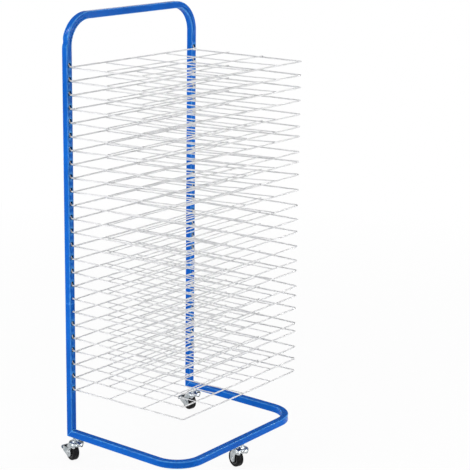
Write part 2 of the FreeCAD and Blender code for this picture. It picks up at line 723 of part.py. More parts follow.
core = newBody("wheel_core")
section = axleSketch(core, "wheel_core_profile")
hubEnd = forkInside / 2 - sidePlay
rimEnd = wheelWidth / 2 - rimInset
webSide = coreWeb / 2
bore = axleRadius + runningPlay
hub = hubDiameter / 2
draw(section, [
    (-hubEnd, bore), (-hubEnd, hub), (-webSide, hub), (-webSide, coreRadius - coreRim),
    (-rimEnd, coreRadius - coreRim), (-rimEnd, coreRadius), (rimEnd, coreRadius),
    (rimEnd, coreRadius - coreRim), (webSide, coreRadius - coreRim), (webSide, hub),
    (hubEnd, hub), (hubEnd, bore),
])
turned(core, "wheel_core_body", section)

tyre = newBody("wheel_tyre")
section = axleSketch(tyre, "wheel_tyre_profile")
side = wheelWidth / 2
shoulderTop = wheelRadius - tyreShoulder
draw(section, [
    (-side, coreRadius), (-side, shoulderTop), (tyreShoulder - side, wheelRadius, tyreShoulder, -1),
    (side - tyreShoulder, wheelRadius), (side, shoulderTop, tyreShoulder, -1), (side, coreRadius),
])
turned(tyre, "wheel_tyre_body", section)

lever = newBody("lever")
outline = newSketch(lever, "lever_outline", "YZ_Plane")
webRear = casterTrail + wingReach
webFoot = axleHeight - webDrop
webHead = webFoot + webHeight
draw(outline, [
    (casterTrail, axleHeight + wingNose), (casterTrail - wingNose, axleHeight, wingNose, 1),
    (casterTrail, axleHeight - wingNose, wingNose, 1), (webRear, webFoot), (webRear, webHead),
])
pad(lever, "lever_block", outline, 2 * (wingInside + wingPlate), symmetric=True)
inside = newSketch(lever, "lever_inside", "XY_Plane")
draw(inside, [(-wingInside, -wheelDiameter), (wingInside, -wheelDiameter),
              (wingInside, webRear - wingPlate), (-wingInside, webRear - wingPlate)])
pocket(lever, "lever_inside_cut", inside, symmetric=True)
tongue = newSketch(lever, "lever_tongue", "YZ_Plane")
fall, run = sine(tongueSlope), cosine(tongueSlope)
root = webRear - wingPlate
draw(tongue, [
    (root, webHead), (root, webHead - wingPlate), (webRear, webHead - wingPlate),
    (webRear + tongueLength * run - wingPlate * fall,
     webHead - wingPlate - tongueLength * fall - wingPlate * run + wingPlate),
    (webRear + tongueLength * run, webHead - tongueLength * fall), (webRear, webHead),
])
pad(lever, "lever_tongue_plate", tongue, tongueWidth, symmetric=True)
axleHole = newSketch(lever, "lever_axle_hole", "YZ_Plane")
drawCircle(axleHole, casterTrail, axleHeight, axleRadius + runningPlay)
pocket(lever, "lever_axle_cut", axleHole, symmetric=True)

pedal = newBody("pedal")
slab = newSketch(pedal, "pedal_slab", "XY_Plane")
pedalFront = tongueLength + pedalPlay + pedalHeight / 3 - pedalLength
drawRounded(slab, 0, pedalFront + pedalLength / 2, pedalWidth, pedalLength, pedalCorner)
pad(pedal, "pedal_block", slab, pedalHeight, symmetric=True)
seat = newSketch(pedal, "pedal_seat", "XY_Plane", w=-wingPlate / 2 - pedalPlay)
seatSide = tongueWidth / 2 + pedalPlay
draw(seat, [(-seatSide, -pedalLength), (seatSide, -pedalLength), (seatSide, tongueLength + pedalPlay),
            (-seatSide, tongueLength + pedalPlay)])
pocket(pedal, "pedal_seat_cut", seat, wingPlate + 2 * pedalPlay, reverse=True)
place(pedal, 0, webRear - wingPlate / 2 * fall, webHead - wingPlate / 2 * run, (-1, 0, 0), tongueSlope)

nut = newBody("stem_nut")
section = newSketch(nut, "stem_nut_section", "XY_Plane", w=capTop)
flat = nutFlats / 2
point = nutFlats / math.sqrt(3)
draw(section, [(point, 0), (point / 2, flat), (-point / 2, flat), (-point, 0), (-point / 2, -flat),
               (point / 2, -flat)])
drawCircle(section, 0, 0, stemRadius + threadPlay)
pad(nut, "stem_nut_body", section, neckHeight - flangeHeight)

socket = newBody("stem_socket")
profile = newSketch(socket, "stem_socket_profile", "XZ_Plane")
thread = stemRadius + threadPlay
barrel = barrelDiameter / 2 - threadPlay
draw(profile, [
    (thread, legUnderside - flangeHeight), (flangeDiameter / 2, legUnderside - flangeHeight),
    (flangeDiameter / 2, legUnderside), (barrel, legUnderside),
    (barrel, legUnderside + barrelHeight), (thread, legUnderside + barrelHeight),
])
spun(socket, "stem_socket_body", profile)

rearLineOfStems = frameDepth / 2 - rearCasterInset
casters = (
    ("left", -postSpacing / 2, rearLineOfStems, headingLeft, True),
    ("right", postSpacing / 2, rearLineOfStems, headingRight, True),
    ("front", 0, half - frameDepth / 2, headingFront, False),
)
casterPieces, nuts, sockets, balls = [], [], [], []
for name, x, y, heading, braked in casters:
    prefix = "caster_%s_" % name
    pieces = [(stem, "stem"), (cap, "cap"), (fork, "fork"), (core, "wheel_core"), (tyre, "tyre"),
              (brakeAxle if braked else plainAxle, "axle")]
    if braked:
        pieces += [(lever, "brake_lever"), (pedal, "brake_pedal")]
    for source, piece in pieces:
        casterPieces.append(copied(source, prefix + piece, x, y, 0, (0, 0, -1), heading))
    nuts.append(copied(nut, "stem_nut_" + name, x, y))
    sockets.append(copied(socket, "stem_socket_" + name, x, y))
    for number in range(ballsPerRace):
        angle = 360 * number / ballsPerRace
        balls.append(knee("ball_%s_%d" % (name, number + 1), ballDiameter,
                          x + raceDiameter / 2 * math.cos(math.radians(angle)),
                          y + raceDiameter / 2 * math.sin(math.radians(angle)),
                          ballTop - ballDiameter / 2))
grouped("stem_nuts", nuts)
grouped("caster_sockets", sockets)
grouped("race_balls", balls)

doc.recompute()

# ---------------------------------------------------------------- check and write
for item in doc.Objects:
    if "Invalid" in item.State or "Error" in item.State:
        raise RuntimeError("%s failed: %s" % (item.Name, item.State))

singles = ["handle_frame", "base_tube", "lower_post_left", "lower_post_right", "corner_welds",
           "post_joiner_left", "post_joiner_right", "frame_screws", "caster_sockets", "stem_nuts",
           "race_balls"]
nodes = [doc.getObjectsByLabel(label)[0] for label in singles] + shelves + casterPieces
os.makedirs("parts", exist_ok=True)
for node in nodes:
    if node.Shape.isNull() or not node.Shape.isValid():
        raise RuntimeError("%s has no valid shape" % node.Label)
for node in nodes:
    node.Shape.exportStep("parts/%s.step" % node.Label)
print("%d sub-parts written" % len(nodes))
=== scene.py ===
import math
import random

import bmesh
import bpy
from mathutils import Matrix, Vector


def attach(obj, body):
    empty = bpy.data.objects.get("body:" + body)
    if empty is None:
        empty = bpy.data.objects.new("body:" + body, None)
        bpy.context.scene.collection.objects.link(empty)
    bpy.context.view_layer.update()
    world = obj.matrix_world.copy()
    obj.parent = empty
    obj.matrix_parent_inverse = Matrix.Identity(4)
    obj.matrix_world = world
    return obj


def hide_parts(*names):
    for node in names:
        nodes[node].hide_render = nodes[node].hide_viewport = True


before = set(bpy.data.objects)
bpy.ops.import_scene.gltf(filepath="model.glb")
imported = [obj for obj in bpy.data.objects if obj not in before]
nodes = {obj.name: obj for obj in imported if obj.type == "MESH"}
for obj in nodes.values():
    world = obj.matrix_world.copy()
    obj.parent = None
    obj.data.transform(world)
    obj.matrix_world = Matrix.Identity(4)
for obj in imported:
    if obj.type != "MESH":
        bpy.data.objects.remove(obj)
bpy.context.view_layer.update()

# drying rack for artwork: shapes are worked out in millimetres and put into the scene in metres
scene = bpy.context.scene
mm = 0.001
print("rack: frame loaded,", len(nodes), "CAD nodes")


# points in millimetres and the faces between them
class Shape:
    def __init__(self):
        self.points = []
        self.faces = []

    def add(self, points, faces):
        first = len(self.points)
        self.points += [Vector(point) for point in points]
        self.faces += [[first + index for index in face] for face in faces]
        return first

    def join(self, *others):
        for other in others:
            self.add(other.points, other.faces)
        return self

    def moved(self, matrix):
        copy = Shape()
        copy.add([matrix @ point for point in self.points], self.faces)
        return copy


# several values out of a dictionary
def pick(sizes, *names):
    return [sizes[name] for name in names]


def shift(spot):
    return Matrix.Translation(Vector(spot))


def turn(degrees, axis):
    return Matrix.Rotation(math.radians(degrees), 4, axis)


# points on an arc in the plane, angles in degrees
def arc(centre, radius, start, end, steps):
    spots = []
    for step in range(steps + 1):
        angle = math.radians(start + (end - start) * step / steps)
        spots.append((centre[0] + radius * math.cos(angle), centre[1] + radius * math.sin(angle)))
    return spots


# a level ring of points; radius is a number or a function of the angle
def circle(radius, height, sides):
    ring = []
    for side in range(sides):
        angle = 2 * math.pi * side / sides
        size = radius(angle) if callable(radius) else radius
        ring.append((size * math.cos(angle), size * math.sin(angle), height))
    return ring


# distance from the middle of a hexagon to its edge at an angle
def hexagonEdge(angle, halfFlats):
    return halfFlats / math.cos((angle + math.pi / 6) % (math.pi / 3) - math.pi / 6)


# quads round a stack of rings with count points each
def ringFaces(count, rings):
    quads = []
    for low in range(0, (rings - 1) * count, count):
        for step in range(count):
            after = (step + 1) % count
            quads.append((low + step, low + after, low + count + after, low + count + step))
    return quads


# a stack of rings with both ends closed
def stack(points, count):
    shape = Shape()
    ends = [list(range(count)), list(range(len(points) - count, len(points)))]
    shape.add(points, ringFaces(count, len(points) // count) + ends)
    return shape


# turns a profile of (radius, height) points right round; a radius of 0 closes an end
def lathe(profile, sides):
    shape, rings = Shape(), []
    closes = [radius <= 1e-6 for radius, height in profile]
    for closed, (radius, height) in zip(closes, profile):
        ring = [(0, 0, height)] if closed else circle(radius, height, sides)
        first = shape.add(ring, [])
        rings.append(range(first, first + len(ring)))
    for low, high in zip(rings, rings[1:] + ([] if closes[0] else [rings[0]])):
        for side in range(sides):
            after = (side + 1) % sides
            if len(low) == 1:
                shape.faces.append([low[0], high[after], high[side]])
            elif len(high) == 1:
                shape.faces.append([low[side], low[after], high[0]])
            else:
                shape.faces.append([low[side], low[after], high[after], high[side]])
    return shape


wireEnd = {"narrow": 0.72, "chamfer": 0.28, "nudge": 0.001}     # softened cut ends, as shares of the radius


# a round wire along a path
def wire(shape, path, radius, sides=12):
    path = [Vector(point) for point in path]
    start, end = (path[0] - path[1]).normalized(), (path[-1] - path[-2]).normalized()
    path = [path[0] + start * wireEnd["nudge"]] + path + [path[-1] + end * wireEnd["nudge"]]
    across, rings = None, []
    for index, point in enumerate(path):
        before, after = path[max(index - 1, 0)], path[min(index + 1, len(path) - 1)]
        along = (after - before).normalized()
        if across is None:
            across = along.orthogonal().normalized()
        across = (across - along * across.dot(along)).normalized()
        up = along.cross(across)
        size = radius * (wireEnd["narrow"] if index in (0, len(path) - 1) else 1)
        rings.append([point + (across * math.cos(angle) + up * math.sin(angle)) * size
                      for angle in (2 * math.pi * side / sides for side in range(sides))])
    # the chamfer needs a little length of its own
    for ring, push in ((rings[1], -start), (rings[-2], -end)):
        for point in ring:
            point += push * radius * wireEnd["chamfer"]
    shape.join(stack([point for ring in rings for point in ring], sides))


# a sheet cut to an outline of (y, z) points, from low to high along x
def plate(outline, low, high):
    return stack([(x, y, z) for x in (low, high) for y, z in outline], len(outline))


# turns a shape into a piece that rides on a CAD body and stands for a CAD node
def makePiece(name, shape, material, body, node, sharp=35, bevel=0.0, weighted=False):
    mesh = bpy.data.meshes.new(name)
    mesh.from_pydata([point * mm for point in shape.points], [], shape.faces)
    mesh.validate()
    work = bmesh.new()
    work.from_mesh(mesh)
    bmesh.ops.recalc_face_normals(work, faces=work.faces)
    work.to_mesh(mesh)
    work.free()
    mesh.shade_smooth()
    mesh.set_sharp_from_angle(angle=math.radians(sharp))
    mesh.materials.append(material)
    piece = bpy.data.objects.new(name, mesh)
    scene.collection.objects.link(piece)
    if bevel:
        edge = piece.modifiers.new("edges", "BEVEL")
        edge.width = bevel * mm
        edge.segments = 2
        edge.limit_method = "ANGLE"
        edge.angle_limit = math.radians(sharp)
        edge.harden_normals = True
    if weighted:
        piece.modifiers.new("flats", "WEIGHTED_NORMAL").keep_sharp = True
    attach(piece, body)
    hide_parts(node)


def addNode(tree, kind, **values):
    node = tree.nodes.new(kind)
    for key, value in values.items():
        setattr(node, key, value)
    return node


# links a socket to another one, or sets its own value
def feed(tree, socket, value):
    if isinstance(value, bpy.types.NodeSocket):
        tree.links.new(value, socket)
    else:
        socket.default_value = value


# a node material, built up a few nodes at a time
class Finish:
    shaderSockets = {
        "colour": "Base Color", "roughness": "Roughness", "metal": "Metallic", "specular": "Specular IOR Level",
        "coat": "Coat Weight", "coatRoughness": "Coat Roughness",
    }

    def __init__(self, name):
        self.material = bpy.data.materials.new(name)
        self.material.use_nodes = True
        self.tree = self.material.node_tree
        self.shader = self.tree.nodes["Principled BSDF"]
        self.places = addNode(self.tree, "ShaderNodeTexCoord").outputs["Object"]
        self.bumps = None

    # a new node with its inputs fed by name
    def fed(self, kind, **inputs):
        node = addNode(self.tree, kind)
        for name, value in inputs.items():
            feed(self.tree, node.inputs[name.replace("_", " ")], value)
        return node

    def noise(self, scale, detail=3.0, roughness=0.5, distortion=0.0):
        texture = self.fed("ShaderNodeTexNoise", Vector=self.places, Scale=scale, Detail=detail,
                           Roughness=roughness, Distortion=distortion)
        return texture.outputs["Fac"]

    # maps a value from start..end to low..high, numbers or colours
    def ramp(self, value, low, high, start=0.3, end=0.7):
        if isinstance(low, (int, float)):
            return self.fed("ShaderNodeMapRange", Value=value, From_Min=start, From_Max=end,
                            To_Min=low, To_Max=high).outputs["Result"]
        colours = self.fed("ShaderNodeValToRGB", Fac=value)
        for stop, place, colour in zip(colours.color_ramp.elements, (start, end), (low, high)):
            stop.position = place
            stop.color = (*colour, 1)
        return colours.outputs["Color"]

    def mix(self, amount, first, second):
        blend = addNode(self.tree, "ShaderNodeMix", data_type="RGBA")
        feed(self.tree, blend.inputs["Factor"], amount)
        for socket, value in ((blend.inputs[6], first), (blend.inputs[7], second)):
            feed(self.tree, socket, value if isinstance(value, bpy.types.NodeSocket) else (*value, 1))
        return blend.outputs[2]

    # 0 on flat ground, 1 along outer corners
    def edges(self, low, high):
        return self.ramp(addNode(self.tree, "ShaderNodeNewGeometry").outputs["Pointiness"], 0.0, 1.0, low, high)

    def bump(self, height, strength, depth):
        bump = self.fed("ShaderNodeBump", Strength=strength, Distance=depth * mm, Height=height)
        if self.bumps:
            feed(self.tree, bump.inputs["Normal"], self.bumps)
        self.bumps = bump.outputs["Normal"]
        feed(self.tree, self.shader.inputs["Normal"], self.bumps)

    def set(self, **values):
        for key, value in values.items():
            feed(self.tree, self.shader.inputs[self.shaderSockets[key]], value)
        return self.material


# in all looks a noise is scale, detail, roughness and distortion, a bump ends in strength and depth,
# and a spread is the part of a noise over which the look changes

# gloss powder coat: orange peel, faint cloudiness, and lighter edges that are partly wear and partly a painted
# highlight line along the rounded corners
coatLook = {
    "deep": (0.001, 0.092, 0.455), "bright": (0.003, 0.122, 0.550),
    "cloud": (7, 4, 0.55), "cloudSpread": (0.35, 0.68),
    "flecks": (170, 2), "fleckSpread": (0.45, 0.75), "fleckShare": 0.12, "scuffs": (60, 6, 0.7, 0.6),
    # the lighter edge colour and its amount stand for edge wear and also paint a highlight line along the
    # corners
    "wornAndHighlight": (0.13, 0.46, 0.88), "wearAndHighlight": (0.45, 0.95), "wearAndHighlightSpread": (0.40, 0.60), "edges": (0.51, 0.55),
    "peel": (520, 2, 0.4), "peelBump": (0.3, 0.02),
    "gloss": (0.13, 0.22), "glossSpread": (0.35, 0.7), "specular": 0.07,
}


def powderBlue():
    coat, look = Finish("blue powder coat"), coatLook
    colour = coat.ramp(coat.noise(*look["cloud"]), look["deep"], look["bright"], *look["cloudSpread"])
    flecks = coat.ramp(coat.noise(*look["flecks"]), 0.0, look["fleckShare"], *look["fleckSpread"])
    colour = coat.mix(flecks, colour, look["bright"])
    scuffs = coat.noise(*look["scuffs"])
    # lighter colour along outer corners: partly edge wear, partly a painted highlight where the rounded corners
    # catch the light
    wearAndHighlight = addNode(coat.tree, "ShaderNodeMath", operation="MULTIPLY")
    feed(coat.tree, wearAndHighlight.inputs[0], coat.edges(*look["edges"]))
    feed(coat.tree, wearAndHighlight.inputs[1], coat.ramp(scuffs, *look["wearAndHighlight"], *look["wearAndHighlightSpread"]))
    colour = coat.mix(wearAndHighlight.outputs[0], colour, look["wornAndHighlight"])
    coat.bump(coat.noise(*look["peel"]), *look["peelBump"])
    gloss = coat.ramp(scuffs, *look["gloss"], *look["glossSpread"])
    return coat.set(colour=colour, roughness=gloss, specular=look["specular"])


zincLook = {
    "dull": (0.30, 0.335, 0.355), "bright": (0.53, 0.55, 0.565),
    "patches": (95, 4, 0.6), "patchSpread": (0.36, 0.6),
    "tint": (0.20, 0.29, 0.32), "tintShare": 0.35, "bloom": (34, 3), "bloomSpread": (0.5, 0.72),
    "gloss": (0.38, 0.25), "glossSpread": (0.35, 0.65),         # on dull patches, then on bright ones
    "bumps": ((900, 2, 0.12, 0.03), (160, 2, 0.12, 0.05)),      # grain, then dents
}


def zincPlate():
    zinc, look = Finish("bright zinc plate"), zincLook
    patches = zinc.noise(*look["patches"])
    colour = zinc.ramp(patches, look["dull"], look["bright"], *look["patchSpread"])
    tint = zinc.ramp(zinc.noise(*look["bloom"]), 0.0, look["tintShare"], *look["bloomSpread"])
    colour = zinc.mix(tint, colour, look["tint"])
    for scale, detail, strength, depth in look["bumps"]:
        zinc.bump(zinc.noise(scale, detail), strength, depth)
    gloss = zinc.ramp(patches, *look["gloss"], *look["glossSpread"])
    return zinc.set(colour=colour, metal=1.0, roughness=gloss)


wireLook = {
    "tones": ((0.58, 0.583, 0.595), (0.71, 0.712, 0.72)), "spread": (0.32, 0.62), "gloss": (0.32, 0.46),
    "cloud": (26, 4, 0.6), "grain": (420, 3, 0.3, 0.05), "shader": {"coat": 0.15, "coatRoughness": 0.2},
}
rubberLook = {
    "tones": ((0.005, 0.005, 0.006), (0.014, 0.014, 0.014)), "spread": (0.45, 0.75), "gloss": (0.42, 0.62),
    "cloud": (140, 5, 0.65), "grain": (700, 3, 0.35, 0.05), "shader": {"specular": 0.10},
}
coreLook = {
    "tones": ((0.014, 0.014, 0.015), (0.03, 0.03, 0.03)), "spread": (0.3, 0.7), "gloss": (0.36, 0.5),
    "cloud": (60, 3), "grain": (1400, 2, 0.3, 0.04), "shader": {},
}
pedalLook = {**coreLook, "tones": ((0.035, 0.062, 0.10), (0.06, 0.095, 0.14))}
oxideLook = {
    "tones": ((0.018, 0.018, 0.02), (0.045, 0.044, 0.05)), "spread": (0.3, 0.7), "gloss": (0.28, 0.45),
    "cloud": (220, 4), "grain": (900, 2, 0.25, 0.03), "shader": {"metal": 0.6},
}


# a cloud of two tones over a fine grain
def clouded(name, look):
    finish = Finish(name)
    cloud = finish.noise(*look["cloud"])
    scale, detail, strength, depth = look["grain"]
    finish.bump(finish.noise(scale, detail), strength, depth)
    return finish.set(colour=finish.ramp(cloud, *look["tones"], *look["spread"]),
                      roughness=finish.ramp(cloud, *look["gloss"]), **look["shader"])


blue, white, zinc = powderBlue(), clouded("grey white wire coat", wireLook), zincPlate()
rubber, screwBlack = clouded("black rubber", rubberLook), clouded("black oxide", oxideLook)
corePlastic, pedalPlastic = clouded("black moulded core", coreLook), clouded("slate moulded pedal", pedalLook)
print("rack: finishes made")


tubeSizes = {
    "side": 20.0, "corner": 2.5, "wall": 1.2, "cornerSteps": 4, "flatSteps": 8,
    "bendRadius": 80.0, "bendSteps": 26,
    "dish": 1.9,                    # how far the inside wall of a bend is pressed in
    "ripples": (9, 0.22),           # half waves along that wall, and their share of the dish
    "flatten": 0.7,                 # how far the outside wall of a bend sinks
    "crush": (12.0, 6.5, 3.8),      # press mark just past the start of a bend: place, spread, depth
    "groove": (3.0, -2.8, 1.8),     # crease in the side walls of a bend: depth, place, half width
    "creaseStart": (0.75, 30.0),    # its share where a bend starts, and how far it runs out along the leg
    "creaseEnd": 0.72,              # how far along the bend it keeps its depth
    "endBreak": 0.35,               # broken edge at a cut end
    "endStop": 1.6,                 # a ring close to each end, which keeps the worn edge narrow
    "mitre": 25.0,                  # rings nearer to the mitre than this lean with it
}
slotSizes = {"width": 11.0, "height": 14.0, "pitch": 38.0, "lip": 0.35, "steps": 6}
rackSizes = {
    "halfSpacing": 265.0, "postPlane": 200.0, "floorToTube": 74.0, "seam": 467.0, "top": 1259.999,
    "firstRow": 216.0, "lowerRows": 7, "rowCount": 25, "slotAboveRow": 3.4,
    "frontBar": -200.0, "rearEnd": 210.0, "baseCrease": 0.12,
    "handleMarks": (4, 29, 4),      # first, last and step of the extra rings below a handle bend
    "baseStops": (24, 60, 140, 220, 300),
}


# round-cornered square section as (out, across) points; the front flat is the last of four
def sectionPoints(side, corner):
    flat, cuts = side / 2 - corner, tubeSizes["flatSteps"]
    points = []
    for quarter in range(4):
        spin = Matrix.Rotation(math.pi / 2 * quarter, 2)
        run = [(side / 2, -flat + 2 * flat * cut / cuts) for cut in range(cuts + 1)]
        run += arc((flat, flat), corner, 0, 90, tubeSizes["cornerSteps"])[1:-1]
        points += [spin @ Vector(point) for point in run]
    return points


# how far the inside and outside walls of a bend sink, at a place along it from 0 to 1
def bendSink(out, across, place):
    if place is None:
        return 0.0
    inside = tubeSizes["side"] / 2 - tubeSizes["corner"]
    hollow = max(0.0, math.cos(math.pi / 2 * min(abs(across) / (inside + 1.5), 1))) ** 1.3
    rise = abs(math.sin(math.pi * place)) ** 0.5
    if out < 0:
        waves, waveDepth = tubeSizes["ripples"]
        ripple = 1 + waveDepth * math.sin(place * math.pi * waves) * rise
        return tubeSizes["dish"] * rise * hollow * ripple * min(-out / inside, 1)
    return -tubeSizes["flatten"] * rise * hollow * min(out / inside, 1)


def creaseDepth(out, strength):
    depth, place, spread = tubeSizes["groove"]
    return depth * strength * math.exp(-((out - place) / spread) ** 2)


# left and right half of a slot's edge, from its lowest point up, as (side, height) points
def slotLoop(grow):
    radius = slotSizes["width"] / 2 + grow
    straight = (slotSizes["height"] - slotSizes["width"]) / 2
    left = arc((0, -straight), radius, 270, 180, slotSizes["steps"])
    left += arc((0, straight), radius, 180, 90, slotSizes["steps"])
    return left, [(-side, height) for side, height in left]


# the slot whose middle lies midway between a stop and the next one, if any
def slotAhead(stops, number, centres):
    if number + 1 == len(stops):
        return None
    middle = (stops[number] + stops[number + 1]) / 2
    return next((centre for centre in centres if abs(middle - centre) < 0.1), None)


# a square tube with an outer and an inner skin, cut ends and, where asked, slots in its front wall
class Tube:
    plain = {"bend": None, "shift": None, "shrink": 0.0, "slot": None, "mark": 0.0, "crease": 0.0}

    def __init__(self, across):
        self.across = Vector(across)
        self.stations = []
        self.shape = Shape()

    def station(self, centre, out, along, **extras):
        place = {"centre": Vector(centre), "out": Vector(out), "along": Vector(along)}
        self.stations.append({**self.plain, **place, **extras})

    def ring(self, station, inner):
        inset = tubeSizes["wall"] if inner else station["shrink"]
        half = tubeSizes["side"] / 2 - inset
        points = []
        for out, across in sectionPoints(tubeSizes["side"] - 2 * inset, max(tubeSizes["corner"] - inset, 0.3)):
            sink = bendSink(out, across, station["bend"])
            if station["mark"] and out > 0:
                sink -= station["mark"] * min(out / 5, 1)
            if station["crease"] and abs(across) > half - 0.01:
                across -= math.copysign(creaseDepth(out, station["crease"]), across)
            point = station["centre"] + station["out"] * (out + sink) + self.across * across
            if station["shift"]:
                point += station["along"] * station["shift"](out, across)
            points.append(point)
        return points

    def build(self):
        shape, cuts = self.shape, tubeSizes["flatSteps"]
        count = 4 * (cuts + tubeSizes["cornerSteps"])
        front = 3 * (cuts + tubeSizes["cornerSteps"])
        skins = [[shape.add(self.ring(station, inner), []) for station in self.stations]
                 for inner in (False, True)]
        for index, station in enumerate(self.stations[:-1]):
            slotted = station["slot"] is not None
            for first, following in ((skin[index], skin[index + 1]) for skin in skins):
                for step in range(count):
                    if slotted and front <= step < front + cuts:
                        continue
                    after = (step + 1) % count
                    shape.faces.append([first + step, first + after, following + after, following + step])
            if slotted:
                self.cutSlot(index, station, skins, front, cuts)
        for index in (0, -1):
            outer, inner = skins[0][index], skins[1][index]
            for step in range(count):
                after = (step + 1) % count
                shape.faces.append([outer + step, outer + after, inner + after, inner + step])
        return mergeClose(shape)

    def cutSlot(self, index, station, skins, front, cuts):
        shape, middle, lip = self.shape, cuts // 2, slotSizes["lip"]
        loops = []
        for grow, depth in ((lip, 0), (0, lip), (0, tubeSizes["wall"])):
            wallFace = self.across * (depth - tubeSizes["side"] / 2)
            loops.append([[station["slot"] + station["out"] * side + Vector((0, 0, height)) + wallFace
                           for side, height in edge] for edge in slotLoop(grow)])
        first = [[shape.add(edge, []) for edge in loop] for loop in loops]
        length = len(loops[0][0])
        for loop in (0, 1):
            for edge in (0, 1):
                low, high = first[loop][edge], first[loop + 1][edge]
                shape.faces += [[low + step, low + step + 1, high + step + 1, high + step]
                                for step in range(length - 1)]
        rising = self.stations[index + 1]["centre"].z > station["centre"].z
        for skin, loop in ((skins[0], 0), (skins[1], 2)):
            below, above = (skin[index], skin[index + 1]) if rising else (skin[index + 1], skin[index])
            for edge, run in ((0, range(0, middle + 1)), (1, range(cuts, middle - 1, -1))):
                lower = [below + front + step for step in run]
                upper = [above + front + step for step in run][::-1]
                shape.faces.append(lower + [first[loop][edge] + step for step in range(length)] + upper)


# joins points that lie on each other, as along the middle of the slots
def mergeClose(shape, gap=0.002):
    lookup, target, merged = {}, [], Shape()
    for point in shape.points:
        key = tuple(round(value / gap) for value in point)
        if key not in lookup:
            lookup[key] = len(merged.points)
            merged.points.append(point)
        target.append(lookup[key])
    for face in shape.faces:
        face = [target[index] for index in face]
        face = [index for place, index in enumerate(face) if index != face[place - 1]]
        if len(set(face)) > 2:
            merged.faces.append(face)
    return merged


# two legs and a bar: start is the left leg's end, leg and bar the directions of both
def bentRoute(tube, start, leg, bar, reach, legStops, slots=(), marked=None, endShift=None, creased=1.0):
    start, leg, bar = Vector(start), Vector(leg), Vector(bar)
    width = 2 * rackSizes["halfSpacing"]
    radius, steps = tubeSizes["bendRadius"], tubeSizes["bendSteps"]
    share, fade = tubeSizes["creaseStart"]
    kept = tubeSizes["creaseEnd"]
    place, spread, depth = tubeSizes["crush"]
    straight = reach - radius

    def markAt(distance, side):
        return depth * math.exp(-((distance - straight - place) / spread) ** 2) if side == marked else 0.0

    def legStations(side):
        foot = start + bar * (width * side)
        stops = sorted({0.0, tubeSizes["endBreak"], straight, *(stop for stop in legStops if stop < straight)})
        listed = []
        for number, stop in enumerate(stops):
            centre = slotAhead(stops, number, slots)
            listed.append({
                "centre": foot + leg * stop, "out": bar if side else -bar, "along": leg,
                "shift": endShift if stop < tubeSizes["mitre"] else None,
                "shrink": 0.0 if stop else tubeSizes["endBreak"],
                "slot": None if centre is None else foot + leg * centre,
                "mark": markAt(stop, side), "crease": creased * max(0.0, share - (straight - stop) / fade),
            })
        return listed

    for item in legStations(0):
        tube.station(**item)
    for side in (0, 1):
        corner = start + leg * straight + bar * (width - radius if side else radius)
        if side:
            for part in (0.25, 0.5, 0.75):
                tube.station(start + leg * reach + bar * (radius + (width - 2 * radius) * part), leg, bar)
        for step in (range(steps) if side else range(1, steps + 1)):
            along = step / steps
            angle = math.pi / 2 * along
            fromLeg = 1 - along if side else along
            if side:
                out = leg * math.cos(angle) + bar * math.sin(angle)
            else:
                out = leg * math.sin(angle) - bar * math.cos(angle)
            crease = creased * min(1.0, share + fromLeg * 2) * min(1.0, (1 - fromLeg) / (1 - kept))
            mark = markAt(straight + radius * math.pi / 2 * fromLeg, side)
            tube.station(corner + out * radius, out, leg, bend=along, crease=crease, mark=mark)
    right = legStations(1)
    for number in range(len(right) - 1, -1, -1):
        tube.station(**{**right[number], "slot": right[number - 1]["slot"] if number else None})


def rowHeight(row):
    return rackSizes["firstRow"] + slotSizes["pitch"] * row


# cuts halfway between the slots
def tileStops(centres):
    return [centre - slotSizes["pitch"] / 2 for centre in centres] + [centres[-1] + slotSizes["pitch"] / 2]


half, pitch = tubeSizes["side"] / 2, slotSizes["pitch"]
slotHeights = [rowHeight(row) + rackSizes["slotAboveRow"] for row in range(rackSizes["rowCount"])]
upperSlots = [height - rackSizes["seam"] for height in slotHeights[rackSizes["lowerRows"]:]]
lowerSlots = [height - rackSizes["floorToTube"] for height in slotHeights[:rackSizes["lowerRows"]]]

handle = Tube((0, 1, 0))
handleReach = rackSizes["top"] - rackSizes["seam"]
handleStops = [tubeSizes["endStop"]] + tileStops(upperSlots)
handleStops += [handleReach - tubeSizes["bendRadius"] - step for step in range(*rackSizes["handleMarks"])]
bentRoute(handle, (-rackSizes["halfSpacing"], rackSizes["postPlane"], rackSizes["seam"]), (0, 0, 1), (1, 0, 0),
          handleReach, handleStops, slots=upperSlots, marked=0)
makePiece("handleTube", handle.build(), blue, "frame", "handle_frame", weighted=True)

baseTube = Tube((0, 0, 1))
baseStart = (-rackSizes["halfSpacing"], rackSizes["rearEnd"], rackSizes["floorToTube"] + half)
bentRoute(baseTube, baseStart, (0, -1, 0), (1, 0, 0), rackSizes["rearEnd"] - rackSizes["frontBar"],
          [tubeSizes["endStop"], *rackSizes["baseStops"]], endShift=lambda out, across: across + half,
          creased=rackSizes["baseCrease"])
makePiece("baseTube", baseTube.build(), blue, "frame", "base_tube", weighted=True)

for side, label in ((-1, "left"), (1, "right")):
    post = Tube((0, 1, 0))
    foot = Vector((side * rackSizes["halfSpacing"], rackSizes["postPlane"], rackSizes["floorToTube"]))
    length = rackSizes["seam"] - rackSizes["floorToTube"]
    lip, stop = tubeSizes["endBreak"], tubeSizes["endStop"]
    stops = sorted([0.0, lip, stop, 24.0] + tileStops(lowerSlots) + [length - stop, length - lip, length])
    for number, stop in enumerate(stops):
        centre = slotAhead(stops, number, lowerSlots)
        post.station(foot + Vector((0, 0, stop)), (side, 0, 0), (0, 0, 1),
                     slot=None if centre is None else foot + Vector((0, 0, centre)),
                     shift=(lambda out, across: half - across) if stop < tubeSizes["mitre"] else None,
                     shrink=lip if stop in (0.0, length) else 0.0)
    makePiece("lowerPost_" + label, post.build(), blue, "frame", "lower_post_" + label,
              weighted=True)
print("rack: frame tubes made")


# rippled beads along X, in the corners between the posts and their legs
weldLook = {"leg": 3.5, "ripples": 9, "ripple": 0.22, "steps": 44, "arcSteps": 7, "bulge": (0.72, 0.1)}


